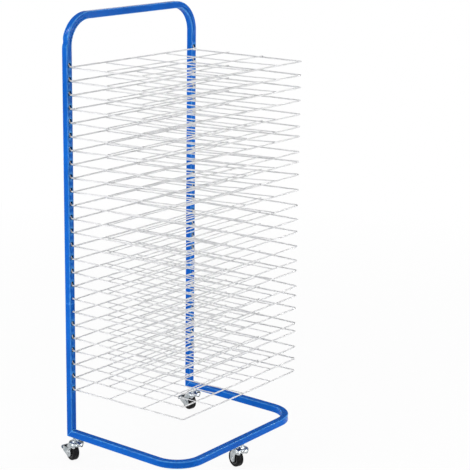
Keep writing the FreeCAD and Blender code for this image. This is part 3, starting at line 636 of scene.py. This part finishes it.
def weldBead(middle):
    reach, steps, arcSteps = half - tubeSizes["corner"], weldLook["steps"], weldLook["arcSteps"]
    bulge, swing = weldLook["bulge"]
    points = []
    for step in range(steps + 1):
        share = step / steps
        taper = min(1.0, 6 * share, 6 * (1 - share)) ** 0.5
        ripple = 0.93 - weldLook["ripple"] * 0.5 * abs(math.sin(math.pi * weldLook["ripples"] * share))
        size = max(weldLook["leg"] * taper * ripple, 0.2)
        corner = Vector((middle + reach * (2 * share - 1), rackSizes["postPlane"] - half,
                         rackSizes["floorToTube"] + 2 * half))
        points.append(corner)
        for arcStep in range(arcSteps + 1):
            angle = math.pi / 2 * arcStep / arcSteps
            swell = bulge + swing * math.cos(4 * angle) if 0 < arcStep < arcSteps else 1
            points.append(corner + Vector((0, -math.cos(angle), math.sin(angle))) * size * swell)
    return stack(points, arcSteps + 2)


beads = Shape().join(*(weldBead(side * rackSizes["halfSpacing"]) for side in (-1, 1)))
makePiece("cornerWelds", beads, blue, "frame", "corner_welds", sharp=60)

screwLook = {
    "head": 10.5, "height": 3.3, "rim": 0.99, "crown": (14, 28, 42, 54), "sides": 36,
    "flats": 4.0, "depth": 2.0, "chamfer": (0.5, 0.3), "perEnd": 3,
}


# domed head with a hexagon socket, its seat on z = 0
def buttonHead():
    sides, radius, rim, top = screwLook["sides"], screwLook["head"] / 2, screwLook["rim"], screwLook["height"]
    points = circle(radius, 0, sides) + circle(radius, rim, sides)
    for angle in (math.radians(angle) for angle in screwLook["crown"]):
        points += circle(radius * math.cos(angle), rim + (top - rim) * math.sin(angle), sides)
    flats, (wider, lower) = screwLook["flats"], screwLook["chamfer"]
    for across, height in ((flats + wider, top), (flats, top - lower), (flats, top - screwLook["depth"])):
        points += circle(lambda angle: hexagonEdge(angle, across / 2), height, sides)
    return stack(points, sides)


screws = Shape()
spacing, rearEnd, seam = pick(rackSizes, "halfSpacing", "rearEnd", "seam")
for side in (-1, 1):
    for step in range(1, screwLook["perEnd"] + 1):
        for end in (-1, 1):
            place = shift((side * spacing, rearEnd, seam + end * step * pitch)) @ turn(-90, "X")
            screws.join(buttonHead().moved(place @ turn(17 * step + 31 * end, "Z")))
makePiece("frameScrews", screws, screwBlack, "frame", "frame_screws", sharp=30)
print("rack: welds and screws made")


shelfSizes = {
    "rim": 2.0, "grid": 1.5,                       # wire radii
    "rear": -10.6, "front": -390.6,                # lines of the rear and front wire, from the hinge
    "rimLevel": -3.7, "rowLevel": -0.5, "columnLevel": -3.2,
    "sideX": 258.0, "hookX": 265.0, "frontCorner": 9.0, "rearCorner": 5.0,
    "rows": (-132.6, -254.6), "columns": (-129.0, 0.0, 129.0), "rowEnd": 262.5, "columnEnd": -396.6,
    "hookRun": 9.0, "hookRise": 50.0, "tipRun": 8.3, "tipLean": 22.0, "sideStart": -0.9,
    "hingePlane": 190.6,
    # how much higher or lower each shelf's front edge stands than its hinge, lowest shelf first
    "lifts": (9, 7, 5, 14, 0, 8, 7, -3, 6, -3, 1, 6, 4, 7, 14, 20, 19, 9, 15, 5, 2, 3, 2, -2, -2),
}


# a nearly straight run of wire, bowed down in the middle and a little wavy
def bowed(start, end, steps, sag, phase, wobble):
    start, end = Vector(start), Vector(end)
    side = (end - start).normalized().cross(Vector((0, 0, 1)))
    points = []
    for step in range(steps + 1):
        share = step / steps
        swell = math.sin(math.pi * share)
        wave = math.sin(3 * math.pi * share + phase) * swell
        points.append(start.lerp(end, share) + Vector((0, 0, -sag * swell)) + side * wobble * wave)
    return points


nuggetAngles = [math.pi * level / 5 - math.pi / 2 for level in range(6)]
nugget = lathe([(math.cos(angle), math.sin(angle)) for angle in nuggetAngles], 8)


# small smooth nugget where two wires cross
def weldSpot(shape, centre, radii):
    shape.join(nugget.moved(shift(centre) @ Matrix.Diagonal((*radii, 1))))


# one shelf about its hinge: x across, y to the posts, z up
def wireShelf(chance):
    s, shape = shelfSizes, Shape()
    front, rear, corner, bend, side = pick(s, "front", "rear", "frontCorner", "rearCorner", "sideX")
    level, rowLevel, columnLevel = pick(s, "rimLevel", "rowLevel", "columnLevel")

    def run(start, end, steps, wobble, sags=None):
        sag = chance.uniform(*sags) if sags else 0.0
        phase = chance.uniform(0, 6)
        return bowed(start, end, steps, sag, phase, chance.uniform(-wobble, wobble))

    def flatArc(centre, radius, start, steps, height):
        return [(x, y, height) for x, y in arc(centre, radius, start, start + 90, steps)]

    rim = run((-side, s["sideStart"], level), (-side, front + corner, level), 12, 0.9)[:-1]
    rim += flatArc((-side + corner, front + corner), corner, 180, 6, level)
    rim += run((-side + corner, front, level), (side - corner, front, level), 14, 0.5, (0.1, 0.9))[1:-1]
    rim += flatArc((side - corner, front + corner), corner, 270, 6, level)
    rim += run((side, front + corner, level), (side, s["sideStart"], level), 12, 0.9)[1:]
    wire(shape, rim, s["rim"])

    rise, lean = math.radians(s["hookRise"]), math.radians(s["tipLean"])
    elbow = Vector((0, s["hookRun"] * math.cos(rise), s["hookRun"] * math.sin(rise)))
    tip = elbow + Vector((0, -s["tipRun"] * math.sin(lean), s["tipRun"] * math.cos(lean)))
    hook = [tip, elbow.lerp(tip, 0.32), elbow + Vector((0, -0.5, 0.2)), elbow * 0.72,
            elbow * 0.22 + Vector((0, -0.2, -0.05)), Vector((0, -0.9, 0)), Vector((0, rear + bend, 0))]
    hookX = s["hookX"]
    left = [spot + Vector((-hookX, 0, 0)) for spot in hook]
    left += flatArc((-hookX + bend, rear + bend), bend, 180, 5, 0)[1:]
    right = flatArc((hookX - bend, rear + bend), bend, 270, 5, 0)[:-1]
    right += [spot + Vector((hookX, 0, 0)) for spot in hook[::-1]]
    wire(shape, left + run(left[-1], right[0], 12, 0.3, (0.0, 0.5))[1:-1] + right, s["rim"])

    for y in s["rows"]:
        row = run((-s["rowEnd"], y, rowLevel), (s["rowEnd"], y, rowLevel), 16, 1.1, (0.0, 0.8))
        wire(shape, row, s["grid"], 10)
        for x in (-side, side):
            weldSpot(shape, (x, y, (level + rowLevel) / 2 + 0.1), (2.5, 2.5, 1.5))
        for x in s["columns"]:
            weldSpot(shape, (x, y, (columnLevel + rowLevel) / 2), (2.2, 2.2, 1.3))
    last = s["rows"][-1]
    end = columnLevel + (rowLevel - columnLevel) / (last - front) * (last - s["columnEnd"])
    for x in s["columns"]:
        column = run((x, rear + 2.0, columnLevel), (x, last, columnLevel), 9, 0.6)
        column += run((x, last, columnLevel), (x, s["columnEnd"], end), 6, 0.4)[1:]
        wire(shape, column, s["grid"], 10)
        weldSpot(shape, (x, rear, -1.6), (2.5, 2.3, 1.3))
        weldSpot(shape, (x, front, -2.2), (2.4, 2.5, 1.4))
    return shape


chance = random.Random(25)
for row, lift in enumerate(shelfSizes["lifts"]):
    label, tilt = "%02d" % (row + 1), math.atan2(lift, -shelfSizes["front"])
    place = shift((0, shelfSizes["hingePlane"], rowHeight(row))) @ Matrix.Rotation(-tilt, 4, "X")
    makePiece("wireShelf_" + label, wireShelf(chance).moved(place), white, "flip_" + label, "shelf_" + label,
              sharp=50)
print("rack: shelves made")


# casters are drawn about the stem from the floor up, trailing along +Y
casterPlaces = {
    "left": {"spot": (-265.0, 183.0, 0.0), "heading": 17.0, "brake": True},
    "right": {"spot": (265.0, 183.0, 0.0), "heading": 15.0, "brake": True},
    "front": {"spot": (0.0, -200.0, 0.0), "heading": 17.0, "brake": False},
}
wheelSizes = {
    "trail": 22.0, "axle": 25.0, "radius": 25.0, "halfWidth": 10.0, "shoulder": 5.0,
    "core": 17.0, "coreRim": 3.0, "web": 3.5, "hub": 7.0, "hubEnd": 10.7, "pin": 3.1, "ribs": 8, "ribEnd": 7.4,
}
trail, axle = wheelSizes["trail"], wheelSizes["axle"]
onAxle = shift((0.0, trail, axle)) @ turn(90, "Y")      # from a turned part's own axis to the axle

capSizes = {"radius": 22.0, "low": 55.0, "top": 66.0, "bore": 5.06}


def capShape():
    rim, low, top, bore = pick(capSizes, "radius", "low", "top", "bore")
    profile = [(rim - 0.2, low), (rim, low + 0.5), (rim, low + 1.3), (rim - 0.35, low + 1.8)]
    profile += arc((rim - 3.85, low + 3.6), 3.5, 0, 78, 7)
    profile += [(15.5, low + 7.5), (13.2, low + 8.0), (12.0, low + 8.8), (10.9, low + 10.4), (10.0, top),
                (bore, top), (bore, top - 2), (9.0, top - 2), (13.2, low + 4.5), (rim - 2, low + 4.5),
                (rim - 2, low)]
    return lathe(profile, 72)


nutSizes = {"halfFlats": 8.5, "low": 66.0, "top": 72.4, "chamfer": 1.1, "bore": 5.06, "sides": 48}


# hexagon nut with turned corners, between the cap and the tube
def nutShape():
    flats, low, top, chamfer, bore, sides = nutSizes.values()
    levels = ((low, 1.02), (low + chamfer, 1.2), (top - chamfer, 1.2), (top, 1.02))
    points = []
    for height, limit in levels:
        points += circle(lambda angle: min(hexagonEdge(angle, flats), flats * limit), height, sides)
    points += circle(bore, top, sides) + circle(bore, low, sides)
    shape = Shape()
    shape.add(points, ringFaces(sides, len(levels) + 2))
    last = (len(levels) + 1) * sides
    shape.faces += [[last + side, last + (side + 1) % sides, (side + 1) % sides, side] for side in range(sides)]
    return shape


forkSizes = {
    "cheek": (11.0, 13.2), "crownLow": 52.5, "crownTop": 54.7, "crown": 21.0, "bore": 5.1,
    "flareSteps": (18, 8), "flareHalf": 15.6,
}


def cheekOutline(top):
    points = [(-13, top), (-13, 51.4), (-10.5, 49.0), (-7.5, 47.3)]
    points += arc((trail - 26, 30.7), 16, 90, 0, 12)
    points += arc((trail, axle), 10, 180, 360, 18)
    return points + [(trail + 10, 40.0), (21.0, top)]


# drawn shoulder, where a cheek flares out into the round crown
def cheekFlare(side):
    low, crown, outer = forkSizes["crownLow"], forkSizes["crown"], forkSizes["cheek"][1]
    steps, turns = forkSizes["flareSteps"]
    points = []
    for step in range(steps + 1):
        along = forkSizes["flareHalf"] * (2 * step / steps - 1)
        reach = max(math.sqrt(max((crown - 0.4) ** 2 - along ** 2, 0)) - outer, 0.05)
        drop = 1.5 + 8.0 * (reach / (crown - outer)) ** 0.8
        points += [(side * (outer - 0.6), along, low + 0.8), (side * (outer - 0.6), along, low - drop)]
        for angle in (math.pi / 2 * count / turns for count in range(turns + 1)):
            points.append((side * (outer - 0.02 + reach * (1 - math.cos(angle))), along,
                           low - drop + drop * math.sin(angle)))
        points.append((side * (outer + reach), along, low + 0.8))
    return stack(points, turns + 4)


def forkShape():
    low, top, crown, bore = pick(forkSizes, "crownLow", "crownTop", "crown", "bore")
    fork = lathe([(bore, low), (crown - 0.7, low), (crown, low + 0.7), (crown, top - 0.9), (crown - 0.9, top),
                  (17.5, top), (16.6, top - 0.5), (14.4, top - 0.5), (13.5, top), (bore, top)], 72)
    for side in (-1, 1):
        ends = sorted(side * edge for edge in forkSizes["cheek"])
        fork.join(plate(cheekOutline(top - 1.0), *ends), cheekFlare(side))
    return fork


rivetSizes = {"head": 5.0, "rise": 1.8, "shank": 3.0, "braked": 15.6, "plain": 13.2}


def rivetShape(reach):
    head, rise, shank = pick(rivetSizes, "head", "rise", "shank")
    dome = [(head, 0.0), (head, 0.35), (head * 0.9, rise * 0.62), (head * 0.66, rise * 0.92),
            (head * 0.42, rise), (head * 0.3, rise - 0.35), (0, rise - 0.45)]
    profile = [(radius, -(reach + height)) for radius, height in dome[::-1]]
    profile += [(shank, -reach + 0.02), (shank, reach - 0.02)]
    profile += [(radius, reach + height) for radius, height in dome]
    return lathe(profile, 40).moved(onAxle)


# a profile of (radius, across) points and its mirror image on the wheel's other side
def bothSides(profile):
    return profile + [(radius, -across) for radius, across in profile[::-1]]


def tyreShape():
    core, radius, width, shoulder = pick(wheelSizes, "core", "radius", "halfWidth", "shoulder")
    profile = [(core, -width + 0.4), (core + 0.4, -width), (19.3, -width), (19.7, -width + 0.35)]
    curve = arc((-width + shoulder, radius - shoulder), shoulder, 180, 90, 9)
    profile += [(out, across) for across, out in curve]
    profile += [(radius, -0.35), (radius - 0.16, -0.12)]        # mould line
    return lathe(bothSides(profile), 84).moved(onAxle)


def coreShape():
    core, web, hub, pin, hubEnd, ribEnd = pick(wheelSizes, "core", "web", "hub", "pin", "hubEnd", "ribEnd")
    rim, end = core - wheelSizes["coreRim"], wheelSizes["halfWidth"] - 1
    profile = [(pin, -hubEnd), (hub - 0.5, -hubEnd), (hub, -hubEnd + 0.5), (hub + 0.4, -web), (rim - 0.4, -web),
               (rim, -end + 0.4), (rim + 0.4, -end), (core, -end)]
    shape = lathe(bothSides(profile), 60).moved(onAxle)
    outline = [(hub - 0.5, -1.1), (rim + 0.5, -0.8), (rim + 0.5, 0.8), (hub - 0.5, 1.1)]
    for rib in range(wheelSizes["ribs"]):
        place = shift((0.0, trail, axle)) @ turn(360 * (rib + 0.5) / wheelSizes["ribs"], "X")
        shape.join(plate(outline, -ribEnd, ribEnd).moved(place))
    return shape


leverSizes = {
    "wing": (13.5, 15.3), "nose": 13.5, "fold": 4.0, "rear": 52.0, "webTop": 36.0, "webLow": 23.0,
    "tongueLength": 23.0, "tongueWidth": 14.0, "tongueThick": 1.8, "slope": 30.0,
}


# lower and upper edge of the lever's sheet at a place along Y
def wingEdge(along):
    nose, low, top = pick(leverSizes, "nose", "webLow", "webTop")
    if along <= trail:
        swell = math.sqrt(max(nose ** 2 - (trail - along) ** 2, 0))
        return axle - swell, axle + swell
    share = (along - trail) / (leverSizes["rear"] - trail)
    return axle - nose + (low - axle + nose) * share, axle + nose + (top - axle - nose) * share


# a bent sheet round the wheel, and the tongue that carries the pedal
def leverShape():
    inner, outer = leverSizes["wing"]
    nose, rear, fold, top = pick(leverSizes, "nose", "rear", "fold", "webTop")
    length, width, thick = pick(leverSizes, "tongueLength", "tongueWidth", "tongueThick")
    path = [(-outer, trail + nose * math.cos(math.radians(angle)), -1, 0)
            for angle in (172, 160, 148, 136, 124, 112, 101, 90)]
    path += [(-outer, trail + step, -1, 0) for step in (5, 10, 15, 20)]
    for angle in (math.radians(angle) for angle in range(0, 91, 15)):
        run, swing = math.sin(angle), math.cos(angle)
        path.append((-outer + fold - fold * swing, rear - fold + fold * run, -swing, run))
    path += [(x, rear, 0, 1) for x in (-6, 0)]
    path += [(-x, y, -outX, outY) for x, y, outX, outY in path[-2::-1]]
    points, sheet = [], outer - inner
    for x, y, outX, outY in path:
        low, high = wingEdge(y)
        within = (x - outX * sheet, y - outY * sheet)
        points += [(x, y, low), (x, y, high), (*within, high), (*within, low)]
    slope = math.radians(leverSizes["slope"])
    run, fall = math.cos(slope), math.sin(slope)
    profile = [(rear - 1.8, top - 1.0), (rear - 1.2, top - 0.25), (rear, top - 0.05),
               (rear + length * run, top - length * fall),
               (rear + length * run - thick * fall, top - length * fall - thick * run),
               (rear - 0.5, top - thick - 0.4), (rear - 1.7, top - thick - 1.2)]
    return stack(points, 4).join(plate(profile, -width / 2, width / 2))


pedalSizes = {
    "length": 17.0, "width": 19.0, "height": 7.0, "corner": 5.0, "middle": 16.93, "skirt": 2.5,
    "ribs": 5, "ribPitch": 2.6,
}


# a rounded block pushed over the tongue, with ribs across its top
def pedalShape():
    halfLength, halfWidth, top = pedalSizes["length"] / 2, pedalSizes["width"] / 2, pedalSizes["height"] / 2
    corner, middle = pedalSizes["corner"], pedalSizes["middle"]
    outline = []
    for quarter, (cornerX, cornerY) in enumerate(((1, 1), (-1, 1), (-1, -1), (1, -1))):
        centre = (cornerX * (halfWidth - corner), middle + cornerY * (halfLength - corner))
        outline += arc(centre, corner, 90 * quarter, 90 * quarter + 90, 6)
    foot = -top - pedalSizes["skirt"]
    points = []
    for inset, level in ((-0.9, foot), (-0.25, foot + 0.35), (0, foot + 1.1),
                         (0, top - 1.9), (-0.3, top - 1.1), (-1.1, top - 0.75)):
        shrinkX, shrinkY = 1 + inset / halfWidth, 1 + inset / halfLength
        points += [(x * shrinkX, middle + (y - middle) * shrinkY, level) for x, y in outline]
    pedal = stack(points, len(outline))
    for rib in range(pedalSizes["ribs"]):
        y = middle + pedalSizes["ribPitch"] * (rib - 2)
        reach = halfWidth - (3.2 if rib in (0, 4) else 2.0)
        profile = [(y - 0.75, top - 0.9), (y - 0.4, top), (y + 0.4, top), (y + 0.75, top - 0.9)]
        pedal.join(plate(profile, -reach, reach))
    slope, sunk = math.radians(leverSizes["slope"]), leverSizes["tongueThick"] / 2
    spot = (0, leverSizes["rear"] - sunk * math.sin(slope), leverSizes["webTop"] - sunk * math.cos(slope))
    return pedal.moved(shift(spot) @ Matrix.Rotation(-slope, 4, "X"))


nuts = Shape()
for label, caster in casterPlaces.items():
    place = shift(caster["spot"]) @ turn(-caster["heading"], "Z")
    node, swivel, wheel = "caster_%s_" % label, "caster_%s_swivel" % label, "caster_%s_wheel" % label
    rivet = rivetShape(rivetSizes["braked" if caster["brake"] else "plain"])
    parts = [
        ("cap_", capShape(), zinc, "frame", "cap", "zinc", 40, 0),
        ("fork_", forkShape(), zinc, swivel, "fork", "zinc", 35, 0.45),
        ("rivet_", rivet, zinc, swivel, "axle", "zinc", 40, 0),
        ("tyre_", tyreShape(), rubber, wheel, "tyre", "tyre_black", 50, 0),
        ("wheelCore_", coreShape(), corePlastic, wheel, "wheel_core", "core_black", 35, 0.25),
    ]
    if caster["brake"]:
        brake = "caster_%s_brake" % label
        parts += [
            ("brakeLever_", leverShape(), zinc, brake, "brake_lever", "zinc", 35, 0.4),
            ("pedal_", pedalShape(), pedalPlastic, brake, "brake_pedal", "pedal_grey", 40, 0),
        ]
    for name, shape, finish, body, ending, slotName, sharp, bevel in parts:
        makePiece(name + label, shape.moved(place), finish, body, node + ending, sharp, bevel)
    nuts.join(nutShape().moved(shift(caster["spot"]) @ turn(caster["heading"] * 1.7, "Z")))
makePiece("stemNuts", nuts, zinc, "frame", "stem_nuts", sharp=30)
print("rack: casters made")

# stems, sockets, joiners and race balls stay as they are and take a finish too
for node in nodes.values():
    if not node.hide_render:
        node.data.materials.clear()
        node.data.materials.append(zinc)


lightLook = {
    "world": 0.38,
    # brightness of the room by height above the horizon (as a sine), as mirrored and seen
    "room": ((0.0, 1.0), (0.13, 1.0), (0.20, 0.22), (0.52, 0.16), (0.78, 0.5), (1.0, 0.9)),
    # name, place, size, watts and what it aims at
    "lamps": (
        ("key", (-3.1, 1.1, 1.1), (1.5, 1.5), 62, (0, 0, 0.6)),
        ("fill", (1.5, -2.6, 0.8), (1.6, 1.2), 50, (0, 0, 0.4)),
        ("top", (0.1, 0.1, 4.4), (1.6, 1.2), 43, (0, 0, 0.6)),
        ("rear", (-1.2, 2.6, 1.8), (1.6, 1.6), 12, (0, 0, 0.7)),
    ),
    # lamps that only show as highlights on rounded edges and metal
    "strips": (
        ("stripRear", (-1.0, 2.0, 2.45), (1.5, 0.16), 20, (-0.26, 0, 0.1)),
        ("stripRight", (2.4, -0.9, 2.1), (1.5, 0.16), 26, (0, -0.2, 0.1)),
        ("stripFront", (-0.35, -1.8, 2.55), (1.5, 0.5), 45, (-0.24, 0.2, 1.24)),
        ("stripLow", (-1.25, -0.62, 0.5), (0.12, 1.0), 10, (-0.27, 0.2, 0.72)),
    ),
}

for kind in ("lamps", "strips"):
    for name, spot, extent, power, target in lightLook[kind]:
        lamp = bpy.data.lights.new(name, "AREA")
        lamp.shape = "RECTANGLE"
        lamp.size, lamp.size_y = extent
        lamp.energy = power
        holder = bpy.data.objects.new(name, lamp)
        scene.collection.objects.link(holder)
        holder.location = spot
        holder.rotation_euler = (Vector(target) - Vector(spot)).to_track_quat("-Z", "Y").to_euler()
        holder.visible_camera = False
        holder.visible_diffuse = kind == "lamps"


# 1 for rays that show the backdrop: straight to the camera, or by way of gloss or glass
def showsBackdrop(tree):
    rays = addNode(tree, "ShaderNodeLightPath")
    found = rays.outputs["Is Camera Ray"]
    for name in ("Is Glossy Ray", "Is Transmission Ray"):
        either = addNode(tree, "ShaderNodeMath", operation="MAXIMUM")
        feed(tree, either.inputs[0], found)
        feed(tree, either.inputs[1], rays.outputs[name])
        found = either.outputs[0]
    return found


world = bpy.data.worlds.new("studio")
scene.world = world
world.use_nodes = True
sky = world.node_tree
heights = addNode(sky, "ShaderNodeSeparateXYZ")
feed(sky, heights.inputs[0], addNode(sky, "ShaderNodeTexCoord").outputs["Generated"])
room = addNode(sky, "ShaderNodeValToRGB")
for number, (sine, level) in enumerate(lightLook["room"]):
    stops = room.color_ramp.elements
    stop = stops[number] if number < 2 else stops.new(sine)
    stop.position = sine
    stop.color = (level, level, level, 1)
feed(sky, room.inputs["Fac"], heights.outputs["Z"])
blendSky = addNode(sky, "ShaderNodeMix", data_type="RGBA")
feed(sky, blendSky.inputs["Factor"], showsBackdrop(sky))
feed(sky, blendSky.inputs[6], (*[lightLook["world"]] * 3, 1))
feed(sky, blendSky.inputs[7], room.outputs["Color"])
feed(sky, sky.nodes["Background"].inputs["Color"], blendSky.outputs[2])

floorLook = {
    "half": 40.0, "colour": (0.86, 0.86, 0.86), "roughness": 0.9, "specular": 0.1,
    "reach": (0.8, 3.2), "glow": (0.93, 1.0),       # shows its shadow near the rack and fades to white
}
floorMesh = bpy.data.meshes.new("floor")
corners = [(x * floorLook["half"], y * floorLook["half"], 0) for x, y in ((-1, -1), (1, -1), (1, 1), (-1, 1))]
floorMesh.from_pydata(corners, [], [(0, 1, 2, 3)])
floor = bpy.data.objects.new("floor", floorMesh)
scene.collection.objects.link(floor)
paper = Finish("pale floor")
paper.set(colour=(*floorLook["colour"], 1), roughness=floorLook["roughness"], specular=floorLook["specular"])
tree = paper.tree
fromMiddle = addNode(tree, "ShaderNodeVectorMath", operation="LENGTH")
feed(tree, fromMiddle.inputs[0], paper.places)
share = addNode(tree, "ShaderNodeMath", operation="MULTIPLY")
feed(tree, share.inputs[0], showsBackdrop(tree))
feed(tree, share.inputs[1], paper.ramp(fromMiddle.outputs["Value"], *floorLook["glow"], *floorLook["reach"]))
blendFloor = addNode(tree, "ShaderNodeMixShader")
feed(tree, blendFloor.inputs[0], share.outputs[0])
feed(tree, blendFloor.inputs[1], paper.shader.outputs[0])
feed(tree, blendFloor.inputs[2], paper.fed("ShaderNodeEmission", Strength=1.0).outputs[0])
feed(tree, tree.nodes["Material Output"].inputs["Surface"], blendFloor.outputs[0])
floorMesh.materials.append(paper.material)

cameraLook = {
    "azimuth": -49.605, "elevation": 12.941, "distance": 4.039764, "target": (-0.149893, 0.0, 0.770311),
    "focal": 1493.614, "width": 470, "centre": (151.777, 200.0),        # in pixels
}
azimuth, elevation = math.radians(cameraLook["azimuth"]), math.radians(cameraLook["elevation"])
level = math.cos(elevation)
back = Vector((math.sin(azimuth) * level, -math.cos(azimuth) * level, math.sin(elevation)))
width, (centreX, centreY) = cameraLook["width"], cameraLook["centre"]
lens = bpy.data.cameras.new("camera")
lens.lens = cameraLook["focal"] / width * lens.sensor_width
lens.shift_x = 0.5 - centreX / width
lens.shift_y = centreY / width - 0.5
lens.clip_end = 100
camera = bpy.data.objects.new("camera", lens)
scene.collection.objects.link(camera)
camera.location = Vector(cameraLook["target"]) + back * cameraLook["distance"]
camera.rotation_mode = "QUATERNION"
camera.rotation_quaternion = (-back).to_track_quat("-Z", "Y")
scene.camera = camera
scene.view_settings.view_transform = "Standard"
print("rack: light and camera set")
